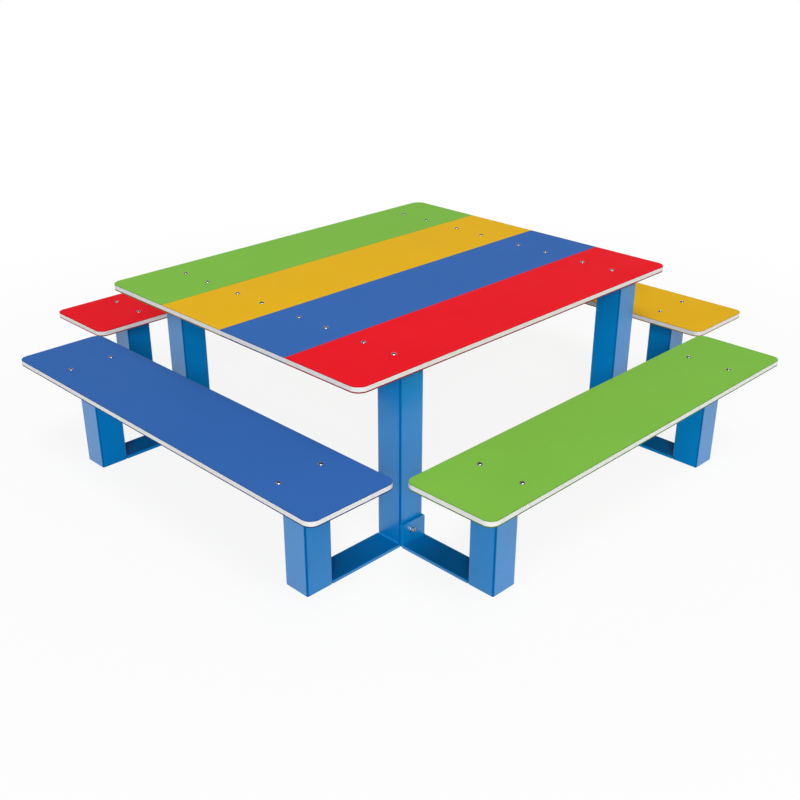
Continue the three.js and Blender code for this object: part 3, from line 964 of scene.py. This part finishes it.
for node in nodes_named("stretcher_"):
    low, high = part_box(node)
    rail = new_piece(node + "_tube", level_tube(low, high), paint)
    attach(rail, "root")
    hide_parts(node)
    along = Vector((1.0, 0.0, 0.0))
    weld_length = high.x - low.x - 4 * BEAD_STOP
    for name, y, way in (("green", low.y, 1.0), ("red", high.y, -1.0)):
        corner = Vector(((low.x + high.x) / 2, y, low.z))
        from_post = Vector((0.0, way, 0.0))
        lay_weld(f"{node}_{name}_weld", corner, along, from_post, -UP, weld_length)


# Tapped strips
# Stainless bars inside the trays with a thread for each screw, so that the boards are held from above
# and no nut hangs under a seat.
STRIP_THICK = 0.006
STRIP_EDGE = 0.0005
THREAD_RADIUS = 0.004
THREAD_TIP = 0.003  # thread that comes out under the strip

for node in nodes_named("top_screws_") + nodes_named("seat_screws_"):
    places = screw_places(node)
    low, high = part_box(node)
    low.z += THREAD_TIP
    high.z = low.z + STRIP_THICK
    mesh = bored_plate(low, high, [STRIP_EDGE] * 4, STRIP_EDGE, places, THREAD_RADIUS)
    strip = new_piece(node + "_strip", mesh, stainless)
    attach(strip, "root")
    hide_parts(node)


# Boards
# Three-layer polyethylene sheet, a coloured skin on both faces of a white core. It is cut and drilled on
# a router, with its edges eased: four boards make the top, side by side, and one makes each seat.
# The cut edge of each skin carries painted shade, so the lower skin's height is also that band's height.
LOWER_SKIN = 0.0042
UPPER_SKIN = 0.0024
BOARD_EDGE = 0.0012
JOINT_EDGE = 0.0006  # where two top boards meet
TOP_CORNER = 0.035
SEAT_CORNER = 0.030
JOINT_CORNER = 0.001
BOARD_HOLE_RADIUS = 0.0045
BOARD_COLOURS = {
    "green": (0.200, 0.482, 0.060, 1.0),
    "yellow": (0.760, 0.430, 0.008, 1.0),
    "blue": (0.034, 0.130, 0.420, 1.0),
    "red": (0.790, 0.006, 0.015, 1.0),
}
CUT_PAINTED_SHADES = (0.3, 0.6)  # painted shade: the cut edges of the lower and the upper skin are drawn darker than their faces
CORE_WHITE = (0.61, 0.605, 0.595, 1.0)
ROUTER_MARK = 0.0032  # from one mark of the router on the edge to the next

core, shader = new_finish("white_core")
tree = core.node_tree
shader.inputs["Specular IOR Level"].default_value = 0.15
tint = place_group(tree, mottle, Color=CORE_WHITE, Size=0.03, Lightest=1.02, Darkest=0.96)
tree.links.new(tint.outputs["Color"], shader.inputs["Base Color"])
marks = place_group(tree, handling, Size=0.004, Smoothest=0.5, Roughest=0.7)
tree.links.new(marks.outputs["Roughness"], shader.inputs["Roughness"])
place = add_node(tree, "ShaderNodeTexCoord")
upright = add_node(tree, "ShaderNodeMapping")
upright.inputs["Scale"].default_value = (1.0, 1.0, 0.0)
router = add_node(tree, "ShaderNodeTexWave", bands_direction="DIAGONAL")
router.inputs["Scale"].default_value = math.pi / 5 / ROUTER_MARK  # at scale 1 they are pi / 5 apart
router.inputs["Distortion"].default_value = 0.4
tree.links.new(place.outputs["Object"], upright.inputs["Vector"])
tree.links.new(upright.outputs["Vector"], router.inputs["Vector"])
press_grain(tree, shader, router.outputs["Fac"], 0.00003, 0.4)


def sheet_finish(name, colour):
    """One colour of the sheet, matt from its fine pressed grain."""
    finish, shader = new_finish(name)
    tree = finish.node_tree
    shader.inputs["Specular IOR Level"].default_value = 0.02
    tint = place_group(tree, mottle, Color=colour, Size=0.25, Lightest=1.02, Darkest=0.98)
    tree.links.new(tint.outputs["Color"], shader.inputs["Base Color"])
    marks = place_group(tree, handling, Size=0.12, Smoothest=0.50, Roughest=0.57)
    tree.links.new(marks.outputs["Roughness"], shader.inputs["Roughness"])
    pebble = place_group(tree, grain, Size=0.0011)
    press_grain(tree, shader, pebble.outputs["Height"], 0.00008, 0.3)
    return finish


def sheet_board(low, high, radii, edge, places):
    """A board whose faces are skin, with the core and the cut skins, in painted shade, round its edge and
    in its holes.
    """
    levels = (low.z + LOWER_SKIN, high.z - UPPER_SKIN)
    mesh = bored_plate(low, high, radii, edge, places, BOARD_HOLE_RADIUS, levels)
    for face in mesh.faces:
        heights = [vertex.co.z for vertex in face.verts]
        if max(heights) - min(heights) < FLATNESS:
            face.material_index = 0
        elif max(heights) < levels[0] + FLATNESS:
            face.material_index = 2
        elif min(heights) > levels[1] - FLATNESS:
            face.material_index = 3
        else:
            face.material_index = 1
    return mesh


top_screws = [place for node in nodes_named("top_screws_") for place in screw_places(node)]
for colour, shade in BOARD_COLOURS.items():
    sheet = sheet_finish(f"{colour}_sheet_skin", shade)
    shaded_cuts = []
    # Shaded copies of the skin for its cut edges: painted shade, deepest on the lower skin.
    for place, darker in zip(("lower", "upper"), CUT_PAINTED_SHADES):
        shaded_cut_colour = [value * darker for value in shade[:3]]
        shaded_cuts.append(sheet_finish(f"{colour}_{place}_shaded_cut_skin", (*shaded_cut_colour, 1.0)))
    top_node = "top_board_" + colour
    low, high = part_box(top_node)
    near_corner = TOP_CORNER if colour == "red" else JOINT_CORNER
    far_corner = TOP_CORNER if colour == "green" else JOINT_CORNER
    own_screws = [place for place in top_screws if low.y < place.y < high.y]
    radii = [near_corner, far_corner, far_corner, near_corner]
    top_mesh = sheet_board(low, high, radii, JOINT_EDGE, own_screws)
    seat_node = "seat_board_" + colour
    seat_ends = nodes_named(f"seat_screws_{colour}_")
    seat_screws = [place for node in seat_ends for place in screw_places(node)]
    seat_mesh = sheet_board(*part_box(seat_node), [SEAT_CORNER] * 4, BOARD_EDGE, seat_screws)
    for node, mesh in ((top_node, top_mesh), (seat_node, seat_mesh)):
        board = new_piece(node + "_sheet", mesh, sheet, core, *shaded_cuts)
        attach(board, "root")
        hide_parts(node)


# Board screws
# Stainless button-head screws with a hexagon socket, driven from above through the boards and the trays
# into the tapped strips. Their heads stand on the boards.
HEAD_RADIUS = 0.008
HEAD_HEIGHT = 0.0044
HEAD_RIM = 0.0012
HEAD_FLAT_RADIUS = 0.0038
HEAD_EDGE = 0.0003  # broken edge under the head
HEAD_CHORDS = 5
SOCKET_FLATS = 0.006
SOCKET_DEPTH = 0.003
SHANK_RADIUS = 0.0039
THREAD_PITCH = 0.00125
THREAD_DEPTH = 0.0006
TIP_DEPTH = 0.0009  # how much slimmer the tip is than the shank
# A darker copy of the stainless steel for the heads: painted shade that stands in for their dark
# reflection.
HEAD_SHADED_GREY = (0.45, 0.45, 0.445, 1.0)

screw_steel = steel_finish("screw_steel", HEAD_SHADED_GREY, 0.14, 0.24)


def button_screw(mesh, place, tip_z, thread_start):
    """One screw from its tip up to its head and down again into its socket."""
    head_seat = place.z - HEAD_HEIGHT
    sections = [(SHANK_RADIUS - TIP_DEPTH, tip_z)]
    z = tip_z + THREAD_PITCH / 2
    while z < thread_start:
        sections.append((SHANK_RADIUS, z))
        sections.append((SHANK_RADIUS - THREAD_DEPTH, z + THREAD_PITCH / 2))
        z += THREAD_PITCH
    sections += [(SHANK_RADIUS, z), (SHANK_RADIUS, head_seat)]
    sections += [(HEAD_RADIUS - HEAD_EDGE, head_seat), (HEAD_RADIUS, head_seat + HEAD_EDGE)]
    dome_rise = HEAD_HEIGHT - HEAD_RIM
    dome_run = HEAD_RADIUS - HEAD_FLAT_RADIUS
    for i in range(HEAD_CHORDS + 1):
        angle = i / HEAD_CHORDS * math.pi / 2
        reach = HEAD_FLAT_RADIUS + dome_run * math.cos(angle)
        sections.append((reach, head_seat + HEAD_RIM + dome_rise * math.sin(angle)))
    shape = [(round_points(radius), z) for radius, z in sections]
    socket = hexagon(SOCKET_FLATS, ROUND_COUNT)
    shape.append((hexagon(SOCKET_FLATS + 2 * SOCKET_CHAMFER, ROUND_COUNT), place.z))
    shape.append((socket, place.z - SOCKET_CHAMFER))
    shape.append((socket, place.z - SOCKET_DEPTH))
    rows = [ring(mesh, [(place.x + x, place.y + y) for x, y in points], z) for points, z in shape]
    skin(mesh, rows)
    mesh.faces.new(rows[0])
    close_with_cone(mesh, rows[-1], place - UP * SOCKET_DEPTH * (1 + DRILL_POINT))


for node in nodes_named("top_screws_") + nodes_named("seat_screws_"):
    low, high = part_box(node)
    mesh = new_mesh()
    for place in screw_places(node):
        button_screw(mesh, place, low.z, low.z + THREAD_TIP)
    screws = new_piece(node + "_heads", mesh, screw_steel)
    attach(screws, "root")
    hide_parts(node)
